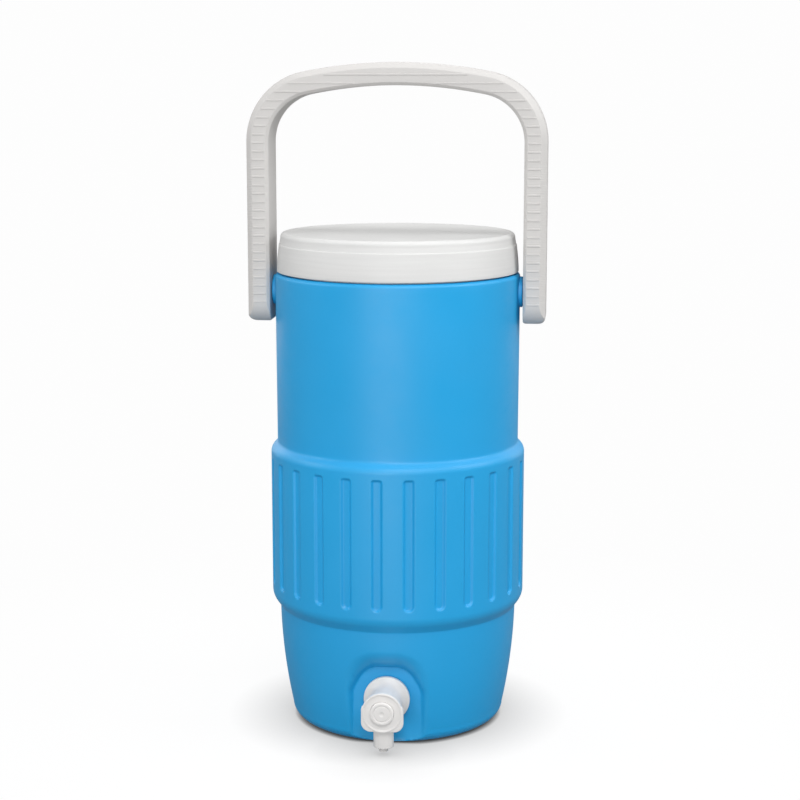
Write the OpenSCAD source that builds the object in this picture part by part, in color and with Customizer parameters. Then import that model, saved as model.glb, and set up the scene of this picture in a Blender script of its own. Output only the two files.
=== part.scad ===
// Insulated drink jug with a screw lid, a swinging bail handle and a push-button tap.
// It stands on z = 0 with its axis on Z. The tap points along -Y and the handle pivots about X.

/* [Body] */
// Height of the body's top face, which the lid covers
body_h = 392.5; // [330:0.5:480]
// Radius of the upper body just under the lid
body_r = 105; // [88:0.5:126]
// How much narrower the upper body is where it meets the band
upper_draft = 0.6; // [0:0.1:2]
// Thickness of the outer shell's wall
shell_wall = 2.5; // [2:0.1:3.5]
// Rounding of the body's top edge
rim_round = 3.5; // [2:0.5:5]
// How much narrower than the top the lower body is where it meets the band
lower_inset = 1.7; // [1:0.1:3]
// Radius of the long curve that draws the lower body in towards the base
taper_curve = 475; // [400:5:700]
// Rounding of the base edge
base_round = 9; // [3:0.5:12]

/* [Base] */
// Depth of the ring-shaped hollow under the base
base_hollow_h = 2.5; // [1:0.5:4]
// Width of the foot ring, from its inner edge to the rounded base edge
foot_w = 11; // [6:0.5:16]
// Radius of the flat pad in the middle of the base
pad_r = 22; // [15:1:30]
// Radius of the hole that the foam is filled through
fill_hole_r = 8; // [6:0.5:10]
// Distance of the filling hole from the axis
fill_hole_at = 48; // [44:1:52]
// Clearance of the filling plug in its hole
fill_plug_clear = 0.15; // [0.1:0.05:0.3]
// How far the filling plug's head overlaps the hole's edge
fill_plug_lip = 3; // [2:0.5:5]
// Thickness of the filling plug's head
fill_plug_head = 1.2; // [0.8:0.1:1.8]

/* [Band] */
// Height of the band's lower edge
band_z = 101.7; // [96:0.1:120]
// Height of the band
band_h = 144.4; // [120:0.1:180]
// How far the band stands out from the upper body
band_proud = 5; // [3.5:0.5:8]
// Angle of the band's lower chamfer from the vertical
band_low_angle = 36; // [25:1:50]
// Rounding between the band's lower chamfer and its wall
band_low_round = 14; // [8:0.5:16]
// Angle of the band's upper chamfer from the vertical
band_up_angle = 45; // [30:1:60]
// Rounding between the band's upper chamfer and its wall
band_up_round = 8; // [4:0.5:9]
// Number of upright flutes round the band
flute_n = 26; // [16:1:30]
// Width of a flute
flute_w = 8.9; // [6:0.1:11]
// Depth of a flute
flute_d = 2; // [1:0.1:3]
// Distance from the band's lower edge to a flute's lower end
flute_low = 19.9; // [17:0.1:28]
// Distance from a flute's upper end to the band's upper edge
flute_up = 13.6; // [11:0.1:24]
// Corner radius of a flute's square upper end
flute_corner = 2.2; // [1:0.1:3]
// Turn of the flutes against the tap, in degrees
flute_turn = -3.2; // [-7:0.1:7]

/* [Tap recess] */
// Height of the tap's axis
tap_z = 40.5; // [38:0.5:46]
// How far the recess floor lies inside the lower body's largest radius
recess_depth = 16.3; // [14:0.1:18]
// Width of the recess
recess_w = 71; // [60:1:76]
// Height of the recess's upper edge
recess_h = 84; // [80:1:90]
// Corner radius of the recess
recess_round = 26; // [10:1:34]

/* [Insulation and liner] */
// Thickness of the liner's wall
liner_wall = 2.5; // [2:0.1:3.5]
// Foam thickness beside the liner's neck
foam_top = 9; // [8.5:0.1:14]
// How much narrower than its neck the liner is at its floor
liner_draft = 7; // [5:0.5:12]
// Foam thickness under the liner
foam_floor = 10; // [7:0.5:16]
// Rounding of the liner's floor edge
liner_round = 8; // [5:0.5:12]
// Foam thickness between shell and liner behind the tap recess
foam_tap = 2.5; // [2:0.1:5]
// Gap that keeps the foam clear of the shell and the liner
foam_clear = 0.2; // [0.1:0.05:0.3]

/* [Neck and thread] */
// Thickness of the neck's wall
neck_wall = 3; // [2.5:0.1:4]
// Height of the neck above the body's top face
neck_h = 25.5; // [24:0.5:30]
// Thickness of the flange that hangs the liner on the shell
hang_flange_t = 2.5; // [2:0.1:3.5]
// Clearance between the liner and the shell's top hole
hang_clear = 0.5; // [0.3:0.1:1]
// Number of thread starts
thread_starts = 3; // [3:1:3]
// Rise of the lid in one full turn
thread_lead = 24; // [22:1:26]
// Height of the thread ridges and of the lugs
thread_t = 3; // [2:0.1:3]
// How far the neck's ridges stand out
ridge_proud = 3.6; // [2.5:0.1:4]
// Length of each neck ridge, in degrees
ridge_span = 80; // [60:5:90]
// Length of each lid lug, in degrees
lug_span = 30; // [20:2:34]
// Height of the ridges' middle above the body's top face
ridge_z = 16.5; // [15:0.5:18]
// Gap between a ridge and the lug under it
thread_clear = 0.5; // [0.4:0.05:0.7]
// Gap between a thread crest and the wall it faces
crest_clear = 1; // [0.8:0.1:2]

/* [Lid] */
// How much smaller in radius than the body the lid's lower edge is
lid_inset = 1.1; // [0.5:0.1:2]
// Gap between the body's top face and the lid's lower edge
lid_gap = 0.8; // [0.5:0.1:1.5]
// Height of the lid's top above the body's top face
lid_h = 34.5; // [34:0.5:42]
// Height of the crease round the lid above the body's top face
lid_crease_h = 24.5; // [14:0.5:28]
// Draft of the lid's wall below the crease
lid_low_draft = 2.2; // [0.4:0.1:3]
// Draft of the lid's wall above the crease
lid_up_draft = 1.3; // [1:0.1:3]
// Rounding of the lid's top edge
lid_round = 4; // [1.5:0.1:5]
// Thickness of the lid's top
lid_top_t = 2.5; // [2:0.1:3.5]
// Clearance between the lid's inside wall and the parts in it
lid_clear = 0.4; // [0.2:0.1:0.8]
// Thickness of the gasket
gasket_t = 2; // [1.5:0.1:3]
// How far the gasket overlaps the neck's rim on both sides
gasket_lip = 0.8; // [0.4:0.1:0.9]
// Thickness of the lid's inner pan
pan_t = 2; // [1.5:0.1:3]
// Depth of the pan's dish below the neck's rim
pan_depth = 16; // [10:0.5:18]
// Gap between the pan's dish and the neck's inside
pan_clear = 1.4; // [1:0.1:3]
// Width of the ring in the lid that the pan is seated on
pan_seat_w = 6.2; // [4:0.1:8]

/* [Handle] */
// Distance of the pivot axis below the body's top face
pivot_drop = 16.2; // [14.5:0.1:22]
// Radius of the pivot bosses on the shell
boss_r = 13.1; // [11:0.1:14]
// How far the bosses' faces stand out from the upper body
boss_proud = 2.5; // [1.5:0.1:4]
// Gap between a boss and the handle's leg
leg_gap = 0.5; // [0.3:0.1:1]
// Thickness of the handle, seen from the front
bail_t = 19.2; // [15:0.1:23]
// Depth of the handle, from front to back
bail_w = 45; // [36:1:52]
// Height of the handle's top above the pivot axis
bail_h = 193.1; // [180:0.1:232]
// Outer radius of the handle's shallow top arch
arch_curve = 400; // [380:10:520]
// Outer radius of the handle's shoulders
shoulder_curve = 60; // [50:1:70]
// Bevel along the handle's outer edges
bevel_out = 5.3; // [3:0.1:6]
// Bevel along the handle's inner edges
bevel_in = 3; // [2:0.1:4]
// How far the legs reach below the pivot axis
leg_drop = 26.7; // [24:0.1:32]
// Corner radius of a leg's end, seen from the side
leg_end_round = 17; // [10:1:18]
// Corner radius of a leg's end on the outside, seen from the front
leg_toe_out = 7; // [4:0.5:9]
// Corner radius of a leg's end on the inside, seen from the front
leg_toe_in = 3; // [1.5:0.5:5]
// Radius of the pivot pins
pin_r = 5; // [4:0.1:6]
// Radial clearance of the pins in the shell's bosses
pin_run_clear = 0.06; // [0.02:0.01:0.1]
// Radial clearance of the pins in the handle
pin_seat_clear = 0.02; // [0.01:0.01:0.04]
// Depth of the pin's bore in the boss
pin_in_boss = 10.5; // [8:0.1:10.8]
// Depth of the pin's bore in the leg
pin_in_leg = 12; // [8:0.1:13]
// Gap at each end of a pin
pin_end_gap = 0.3; // [0.2:0.1:0.8]
// Wall round and behind the pin's bore inside the shell
sleeve_wall = 1.5; // [1.2:0.1:3]

/* [Tap] */
// Radius of the tap's shank
shank_r = 9.5; // [8.6:0.1:10.5]
// Clearance of the shank in the shell, the foam and the liner
shank_clear = 0.2; // [0.1:0.05:0.4]
// Radius of the inlet bore in the shank
inlet_r = 7.2; // [6.4:0.1:7.4]
// How far the shank reaches past the nut
shank_past_nut = 6; // [4:0.5:10]
// Corner radius of the hexagonal nut
nut_r = 15.5; // [13:0.1:17]
// Thickness of the nut
nut_t = 8; // [6:0.5:10]
// Thickness of the sealing washers
washer_t = 1.5; // [1:0.1:2]
// Radius of the washer outside the shell
outer_washer_r = 17.5; // [15:0.1:18.5]
// Radius of the washer inside the liner
inner_washer_r = 14; // [12.5:0.1:15]
// Radius of the tap's flange
flange_r = 19.5; // [18:0.1:21]
// Thickness of the tap's flange
flange_t = 4; // [3:0.1:5]
// Length of the cone behind the barrel
cone_l = 7; // [4:0.5:9]
// Radius of the cone where it leaves the flange
cone_r = 16; // [14:0.1:17]
// Radius of the barrel
barrel_r = 12.6; // [12:0.1:14]
// Distance from the recess floor to the face of the finger plate
plate_at = 40; // [38:0.1:44]
// Thickness of the finger plate
plate_t = 4; // [3:0.1:5]
// Radius of the finger plate's round upper part
plate_r = 16.6; // [15:0.1:18]
// Half the width of the finger plate's wings
wing_half = 17.4; // [16:0.1:19]
// Height of the wings' upper edge above the tap's axis
wing_up = 7.5; // [5:0.1:9]
// Depth of the wings' lower edge below the tap's axis
wing_low = 15.2; // [13:0.1:16]
// Corner radius of the wings
wing_round = 8; // [5:0.1:9]

/* [Spout] */
// Distance from the spout's axis back from the finger plate's face
spout_back = 12; // [11:0.1:13]
// Outer radius of the spout
spout_r = 8.5; // [8:0.1:9.5]
// Bore radius of the spout
spout_bore_r = 5.7; // [5:0.1:6]
// Height of the spout's lower end
spout_z = 8; // [6:0.1:10]
// Solid wall left between the spout's bore and the button's bore
spout_roof = 2.3; // [2:0.1:4]
// How far the spout's thicker root stands out
root_proud = 0.6; // [0.4:0.1:1]
// How far the spout's thicker root shows below the finger plate
root_show = 0.5; // [0.3:0.1:1.5]
// Radius of the slanted passage from the chamber to the spout
passage_r = 4; // [3:0.1:4.2]
// Bore radius of the nozzle
nozzle_bore_r = 3; // [2.4:0.1:3.4]
// Outer radius of the nozzle's tip
nozzle_tip_r = 3.8; // [3.6:0.1:4.6]
// Height of the nozzle's lower end
nozzle_z = 4; // [3:0.1:5]
// Length of the nozzle inside the spout
nozzle_in = 12; // [8:0.5:14]
// Clearance of the nozzle in the spout
nozzle_clear = 0.05; // [0.02:0.01:0.1]

/* [Button and valve] */
// Radius of the button
button_r = 9.85; // [9:0.05:10]
// Radial gap between the button and its bore
button_clear = 0.3; // [0.2:0.05:0.5]
// How far the button stands out of the finger plate
button_proud = 3; // [2:0.1:4]
// Length of the button's skirt
button_l = 10; // [9:0.1:11]
// Thickness of the button's face
button_face_t = 2.5; // [2:0.1:3]
// Thickness of the button's skirt
button_skirt_t = 1.8; // [1.4:0.1:2]
// How far the button travels when it is pressed
button_travel = 4.5; // [3.5:0.1:4.8]
// Depth of the button's bore from the finger plate's face
button_bore_l = 12; // [11.8:0.1:12.5]
// Radius of the stem
stem_r = 2.5; // [2:0.1:3]
// Running clearance of the stem in its guide
stem_clear = 0.06; // [0.02:0.01:0.1]
// Clearance of the stem in the button's socket and in the valve seal
stem_seat_clear = 0.05; // [0.02:0.01:0.08]
// Wall of the button's socket for the stem
socket_wall = 1.4; // [1:0.1:1.8]
// Length of the stem's guide
guide_l = 3.5; // [3:0.1:4]
// Length of the chamber behind the guide
chamber_l = 11.5; // [10:0.1:12]
// Radius of the chamber
chamber_r = 7.5; // [7:0.1:8]
// Thickness of the wall that forms the valve seat
seat_t = 3; // [2:0.1:4]
// Radius of the hole in the valve seat
seat_hole_r = 4.5; // [3.8:0.1:5]
// Radius of the valve seal
valve_r = 6; // [5.4:0.1:6.2]
// Thickness of the valve seal
valve_t = 3; // [2:0.1:4]
// Radius of the stem's head
stem_head_r = 4.3; // [3.6:0.1:4.6]
// Thickness of the stem's head
stem_head_t = 1.5; // [1:0.1:2]
// Radius of the stem seal
stem_seal_r = 4.5; // [4:0.1:5]
// Thickness of the stem seal
stem_seal_t = 1.5; // [1:0.1:2]
// Gap round the stem seal in its pocket
stem_seal_gap = 0.05; // [0.02:0.01:0.1]
// Mean radius of the return spring
spring_r = 5.8; // [5.4:0.1:6.6]
// Thickness of the spring's wire
spring_wire = 1.2; // [0.8:0.1:1.4]
// Number of turns of the spring
spring_turns = 5; // [4:0.5:6]
// Gap at each end of the spring
spring_gap = 0.05; // [0.02:0.01:0.1]

/* [Hidden] */
$fn = 96;
// Overshoot of a cutter past the face that it opens, and overlap of joined solids
over = 1;
// Steps in each rounded stretch of an outline
steps = 6;
blue = [0.16, 0.58, 0.85];
pale_grey = [0.85, 0.84, 0.82];
tap_white = [0.92, 0.91, 0.90];
liner_white = [0.93, 0.93, 0.91];
foam_cream = [0.95, 0.90, 0.72];
rubber_grey = [0.35, 0.35, 0.36];
steel = [0.70, 0.71, 0.73];

// Body
band_r = body_r + band_proud;
band_top = band_z + band_h;
upper_low_r = body_r - upper_draft;
lower_top_r = body_r - lower_inset;
taper_z = band_z + base_round;
// Heights at which the band's upright wall starts and ends
band_low_z = band_z + band_low_round * sin(band_low_angle)
    + (band_r - lower_r(band_z) - band_low_round * (1 - cos(band_low_angle))) / tan(band_low_angle);
band_up_z = band_top - band_up_round * sin(band_up_angle)
    - (band_r - upper_low_r - band_up_round * (1 - cos(band_up_angle))) / tan(band_up_angle);
floor_z = base_hollow_h + shell_wall;
foot_r = lower_r(base_round) - base_round;
// Liner
neck_r = body_r - shell_wall - foam_top;
liner_top_r = neck_r - hang_clear;
liner_floor_z = floor_z + foam_floor;
mouth_r = neck_r - neck_wall;
rim_z = body_h + neck_h;
// Lid
lid_r = body_r - lid_inset;
lid_z = body_h + lid_gap;
lid_top = body_h + lid_h;
crest_r = neck_r + ridge_proud;
skirt_in_r = crest_r + crest_clear + thread_clear;
lug_in_r = neck_r + crest_clear;
hang_r = skirt_in_r - lid_clear;
pan_z = rim_z + gasket_t;
dish_r = mouth_r - pan_clear;
dish_z = rim_z - pan_depth;
pan_out_r = skirt_in_r - lid_clear;
seat_z = pan_z + pan_t;
seat_in_r = skirt_in_r - pan_seat_w;
lead_angle = atan(thread_lead / (360 * crest_r * PI / 180));
// Handle
pivot_z = body_h - pivot_drop;
boss_x = body_r + boss_proud;
leg_x = boss_x + leg_gap;
leg_out_x = leg_x + bail_t;
arch_top = pivot_z + bail_h;
arch_z = arch_top - arch_curve;
shoulder_x = leg_out_x - shoulder_curve;
arch_reach = arch_curve - shoulder_curve;
shoulder_z = round((arch_z + sqrt(arch_reach * arch_reach - shoulder_x * shoulder_x)) * 100) / 100;
shoulder_angle = acos(shoulder_x / arch_reach);
// How much slimmer the top arch is on each side than the shoulders that it runs into
arch_step = 0.02;
leg_end = pivot_z - leg_drop;
sleeve_x = boss_x - pin_in_boss - sleeve_wall;
// Tap, as distances from the jug's axis
face_at = lower_top_r - recess_depth;
liner_out_at = face_at - shell_wall - foam_tap;
liner_in_at = liner_out_at - liner_wall;
flange_at = face_at + washer_t;
barrel_at = flange_at + flange_t + cone_l;
plate_face = face_at + plate_at;
spout_at = plate_face - spout_back;
bore_floor = plate_face - button_bore_l;
chamber_front = bore_floor - guide_l;
chamber_back = chamber_front - chamber_l;
seat_at = chamber_back - seat_t;
nut_at = liner_in_at - washer_t - nut_t;
shank_end = nut_at - shank_past_nut;
shank_hole_r = shank_r + shank_clear;
button_bore_r = button_r + button_clear;
button_face = plate_face + button_proud;
button_in = button_face - button_face_t;
spout_top = tap_z - button_bore_r - spout_roof;
spout_join = tap_z - button_r;
root_z = tap_z - max(plate_r, wing_low) - root_show;
stem_front = button_in - spring_gap;
liner_flat_top = recess_h + shell_wall + foam_tap;

function lower_r(z) = lower_top_r - taper_curve + sqrt(pow(taper_curve, 2) - pow(taper_z - z, 2));
function arc(c, rx, rz, a0, a1) =
    [for (i = [0:steps]) let (a = a0 + (a1 - a0) * i / steps) [c[0] + rx * cos(a), c[1] + rz * sin(a)]];
function taper(z0, z1, inset) =
    [for (i = [0:steps]) let (z = z0 + (z1 - z0) * i / steps) [lower_r(z) - inset, z]];
// Inner radius of the liner at a height, from its floor to its neck
function liner_r(z) =
    liner_top_r - liner_wall - liner_draft * (body_h - z) / (body_h - liner_floor_z);

// Outside of the body, without its hollows
module body_solid() {
    rotate_extrude()
        polygon(concat(
            [[0, 0]],
            arc([foot_r, base_round], base_round, base_round, -90, -12),
            taper(base_round, band_z, 0),
            arc([band_r - band_low_round, band_low_z], band_low_round, band_low_round,
                -band_low_angle, 0),
            arc([band_r - band_up_round, band_up_z], band_up_round, band_up_round, 0, band_up_angle),
            [[upper_low_r, band_top]],
            arc([body_r - rim_round, body_h - rim_round], rim_round, rim_round, 0, 90),
            [[0, body_h]]
        ));
}

// Room inside the shell's wall, drawn in by a gap all round
module body_room(gap) {
    in = shell_wall + gap;
    low_z = floor_z + gap;
    band_in_r = band_r - flute_d - in;
    rotate_extrude()
        polygon(concat(
            [[0, low_z], [lower_r(low_z) - in - base_round, low_z]],
            taper(low_z + base_round, band_z, in),
            [[band_in_r, band_low_z], [band_in_r, band_up_z]],
            [[upper_low_r - in, band_top - shell_wall]],
            [[body_r - in, body_h - in], [0, body_h - in]]
        ));
}

// Space outside the recess floor, with rounded upper corners, grown by a gap
module recess_space(gap) {
    half = recess_w / 2 + gap;
    top = recess_h + gap;
    round = recess_round + gap;
    translate([0, -(face_at - gap), 0])
        rotate([90, 0, 0])
            linear_extrude(recess_depth + band_proud + lower_inset + gap + over)
                union() {
                    translate([-half, -over])
                        square([2 * half, top - round + over]);
                    translate([-(half - round), 0])
                        square([2 * (half - round), top]);
                    for (side = [-1, 1])
                        translate([side * (half - round), top - round])
                            circle(r = round);
                }
}

// Upright slot that cuts one flute
module flute() {
    z0 = band_z + flute_low;
    z1 = band_top - flute_up;
    half = flute_w / 2;
    translate([0, -(band_r - flute_d), 0])
        rotate([90, 0, 0])
            linear_extrude(flute_d + over)
                union() {
                    translate([0, z0 + half])
                        circle(r = half);
                    translate([-half, z0 + half])
                        square([flute_w, z1 - z0 - half - flute_corner]);
                    translate([-(half - flute_corner), z1 - 2 * flute_corner])
                        square([flute_w - 2 * flute_corner, 2 * flute_corner]);
                    for (side = [-1, 1])
                        translate([side * (half - flute_corner), z1 - flute_corner])
                            circle(r = flute_corner);
                }
}

// Cylinder along X on the handle's pivot axis, on the side given by 1 or -1
module pivot_round(side, x0, x1, r) {
    translate([0, 0, pivot_z])
        rotate([0, side * 90, 0])
            translate([0, 0, x0])
                cylinder(r = r, h = x1 - x0);
}

// Puts what it holds on the tap's axis: its Z becomes the distance from the jug's axis
module on_tap() {
    translate([0, 0, tap_z])
        rotate([90, 0, 0])
            children();
}

// Cylinder or cone on the tap's axis
module tap_round(at0, at1, r0, r1) {
    on_tap()
        translate([0, 0, at0])
            cylinder(r1 = r0, r2 = r1, h = at1 - at0);
}

// Flat ring on the tap's axis
module tap_ring(at0, at1, r_out, r_in) {
    difference() {
        tap_round(at0, at1, r_out, r_out);
        tap_round(at0 - over, at1 + over, r_in, r_in);
    }
}

// Flat ring on the jug's axis
module ring(z0, z1, r_out, r_in) {
    translate([0, 0, z0])
        difference() {
            cylinder(r = r_out, h = z1 - z0);
            translate([0, 0, -over])
                cylinder(r = r_in, h = z1 - z0 + 2 * over);
        }
}

// Arc-shaped ridges, one for each thread start, tilted to the thread's slope about their middles
module thread_arcs(r_in, r_out, z, span, turn) {
    for (k = [0:thread_starts - 1])
        rotate([0, 0, turn + k * 360 / thread_starts])
            translate([0, 0, z])
                rotate([lead_angle, 0, 0])
                    rotate([0, 0, -span / 2])
                        rotate_extrude(angle = span)
                            translate([r_in, -thread_t / 2])
                                square([r_out - r_in, thread_t]);
}

// Outside of the liner up to the shell's top hole, grown by a gap
module liner_solid(gap) {
    low_z = liner_floor_z - gap;
    out = liner_wall + gap;
    round = liner_round + liner_wall + gap;
    difference() {
        rotate_extrude()
            polygon(concat(
                [[0, low_z]],
                arc([liner_r(liner_floor_z) + out - round, low_z + round], round, round, -90, 0),
                [[liner_r(body_h) + out, body_h], [0, body_h]]
            ));
        liner_flat(liner_out_at + gap, liner_flat_top - gap);
    }
}

// Room inside the liner, up past the neck's rim
module liner_room() {
    low_z = liner_floor_z + liner_wall;
    difference() {
        rotate_extrude()
            polygon(concat(
                [[0, low_z]],
                arc([liner_r(liner_floor_z) - liner_round, low_z + liner_round],
                    liner_round, liner_round, -90, 0),
                [[liner_r(body_h), body_h], [mouth_r, body_h + hang_flange_t]],
                [[mouth_r, rim_z + over], [0, rim_z + over]]
            ));
        liner_flat(liner_in_at, liner_flat_top + liner_wall);
    }
}

// Space in front of the liner's flat, which makes a level seat for the tap
module liner_flat(at, top) {
    translate([-body_r, -2 * body_r, -over])
        cube([2 * body_r, 2 * body_r - at, top + over]);
}

module outer_shell() {
    color(blue)
        difference() {
            union() {
                difference() {
                    body_solid();
                    recess_space(0);
                    difference() {
                        body_room(0);
                        recess_space(shell_wall);
                    }
                }
                for (side = [-1, 1]) {
                    pivot_round(side, body_r - shell_wall, boss_x, boss_r);
                    pivot_round(side, sleeve_x, body_r - shell_wall + over, pin_r + 2 * sleeve_wall);
                }
            }
            for (k = [0:flute_n - 1])
                rotate([0, 0, flute_turn + k * 360 / flute_n])
                    flute();
            for (side = [-1, 1])
                pivot_round(side, boss_x - pin_in_boss, boss_x + over, pin_r + pin_run_clear);
            translate([0, 0, body_h - shell_wall - over])
                cylinder(r = neck_r, h = shell_wall + 2 * over);
            ring(-over, base_hollow_h, foot_r - foot_w, pad_r);
            translate([0, fill_hole_at, -over])
                cylinder(r = fill_hole_r, h = floor_z + 2 * over);
            tap_round(face_at - shell_wall - over, face_at + over, shank_hole_r, shank_hole_r);
        }
}

// Plug that closes the hole through which the foam is filled
module foam_fill_plug() {
    color(blue)
        translate([0, fill_hole_at, 0]) {
            translate([0, 0, base_hollow_h - fill_plug_head])
                cylinder(r = fill_hole_r + fill_plug_lip, h = fill_plug_head);
            translate([0, 0, base_hollow_h - fill_plug_head / 2])
                cylinder(r = fill_hole_r - fill_plug_clear, h = shell_wall + fill_plug_head / 2);
        }
}

module insulation_foam() {
    color(foam_cream)
        difference() {
            body_room(foam_clear);
            recess_space(shell_wall + foam_clear);
            liner_solid(foam_clear);
            for (side = [-1, 1])
                pivot_round(side, sleeve_x - foam_clear, boss_x, pin_r + 2 * sleeve_wall + foam_clear);
            tap_round(liner_in_at, face_at, shank_hole_r, shank_hole_r);
        }
}

module inner_liner() {
    color(liner_white)
        difference() {
            union() {
                liner_solid(0);
                translate([0, 0, body_h])
                    cylinder(r = hang_r, h = hang_flange_t);
                translate([0, 0, body_h])
                    cylinder(r = neck_r, h = neck_h);
                thread_arcs(neck_r - over, crest_r, body_h + ridge_z, ridge_span, 0);
            }
            liner_room();
            tap_round(liner_in_at - over, liner_out_at + over, shank_hole_r, shank_hole_r);
        }
}

module lid_shell() {
    crease_r = lid_r - lid_low_draft;
    edge_r = crease_r - lid_up_draft;
    // The lugs wait under the lower half of the neck's ridges
    lug_turn = (lug_span + thread_t) / 2 - ridge_span / 2;
    lug_z = body_h + ridge_z + thread_lead * lug_turn / 360 - thread_t - thread_clear;
    color(pale_grey)
        union() {
            rotate_extrude()
                polygon(concat(
                    [[skirt_in_r, lid_z], [lid_r, lid_z]],
                    [[crease_r, body_h + lid_crease_h]],
                    arc([edge_r - lid_round, lid_top - lid_round], lid_round, lid_round, 0, 90),
                    [[0, lid_top], [0, lid_top - lid_top_t]],
                    [[seat_in_r, lid_top - lid_top_t], [seat_in_r, seat_z], [skirt_in_r, seat_z]]
                ));
            thread_arcs(lug_in_r, skirt_in_r + over / 2, lug_z, lug_span, lug_turn);
        }
}

// Dish that closes the lid from below and dips into the neck
module lid_pan() {
    color(liner_white)
        rotate_extrude()
            polygon([
                [0, dish_z], [dish_r - pan_t, dish_z], [dish_r, dish_z + pan_t], [dish_r, pan_z],
                [pan_out_r, pan_z], [pan_out_r, seat_z], [dish_r - pan_t, seat_z],
                [dish_r - pan_t, dish_z + pan_t], [0, dish_z + pan_t]
            ]);
}

module lid_foam() {
    low_z = dish_z + pan_t + foam_clear;
    fill_r = dish_r - pan_t - foam_clear;
    color(foam_cream)
        translate([0, 0, low_z])
            cylinder(r = fill_r, h = lid_top - lid_top_t - foam_clear - low_z);
}

module lid_gasket() {
    color(rubber_grey)
        ring(rim_z, pan_z, neck_r + gasket_lip, mouth_r - gasket_lip);
}

// Bevelled section of the handle, whose X runs outwards from a radius, made slimmer by a step
module bail_section(inner, step) {
    half = bail_w / 2 - step;
    low = inner + step;
    high = inner + bail_t - step;
    polygon([
        [low, -(half - bevel_in)], [low + bevel_in, -half], [high - bevel_out, -half],
        [high, -(half - bevel_out)], [high, half - bevel_out], [high - bevel_out, half],
        [low + bevel_in, half], [low, half - bevel_in]
    ]);
}

// Part of the handle's arch about a centre in the XZ plane, from one angle to another
module bail_arc(x, z, inner, a0, a1, step) {
    translate([x, 0, z])
        rotate([90, -a0, 0])
            rotate_extrude(angle = a1 - a0)
                bail_section(inner, step);
}

// Outline of a leg's rounded end: a bar with its lower corners rounded
module leg_outline(x0, x1, round0, round1) {
    top = shoulder_z - leg_end;
    translate([x0, max(round0, round1)])
        square([x1 - x0, top - max(round0, round1)]);
    translate([x0 + round0, 0])
        square([x1 - x0 - round0 - round1, max(round0, round1)]);
    translate([x0, round0])
        square([round0, max(round0, round1)]);
    translate([x1 - round1, round1])
        square([round1, max(round0, round1)]);
    translate([x0 + round0, round0])
        circle(r = round0);
    translate([x1 - round1, round1])
        circle(r = round1);
}

// One leg, on the +X side
module bail_leg() {
    difference() {
        intersection() {
            translate([0, 0, leg_end])
                linear_extrude(shoulder_z - leg_end)
                    bail_section(leg_x, 0);
            translate([0, bail_w / 2 + over, leg_end])
                rotate([90, 0, 0])
                    linear_extrude(bail_w + 2 * over)
                        leg_outline(leg_x, leg_out_x, leg_toe_in, leg_toe_out);
            translate([leg_x - over, 0, leg_end])
                rotate([90, 0, 90])
                    linear_extrude(bail_t + 2 * over)
                        leg_outline(-bail_w / 2, bail_w / 2, leg_end_round, leg_end_round);
        }
        pivot_round(1, leg_x - over, leg_x + pin_in_leg, pin_r + pin_seat_clear);
    }
}

module handle_bail() {
    // The top arch runs a little way into the shoulders, as a slightly slimmer core
    into = asin(over / arch_curve);
    color(pale_grey)
        union() {
            bail_arc(0, arch_z, arch_curve - bail_t, shoulder_angle - into,
                180 - shoulder_angle + into, arch_step);
            for (side = [0, 1])
                mirror([side, 0, 0]) {
                    bail_arc(shoulder_x, shoulder_z, shoulder_curve - bail_t, 0, shoulder_angle, 0);
                    bail_leg();
                }
        }
}

// Pin pressed into a leg and turning in the shell's boss
module handle_pin(side) {
    color(liner_white)
        pivot_round(side, boss_x - pin_in_boss + pin_end_gap, leg_x + pin_in_leg - pin_end_gap, pin_r);
}

module handle_pin_left() {
    handle_pin(-1);
}

module handle_pin_right() {
    handle_pin(1);
}

// Outline of the finger plate: a round part with two wings
module plate_outline() {
    circle(r = plate_r);
    translate([-(wing_half - wing_round), -wing_low])
        square([2 * (wing_half - wing_round), wing_up + wing_low]);
    translate([-wing_half, -(wing_low - wing_round)])
        square([2 * wing_half, wing_up + wing_low - 1.5 * wing_round]);
    for (side = [-1, 1]) {
        translate([side * (wing_half - wing_round), -(wing_low - wing_round)])
            circle(r = wing_round);
        translate([side * (wing_half - wing_round / 2), wing_up - wing_round / 2])
            circle(r = wing_round / 2);
    }
}

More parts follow.
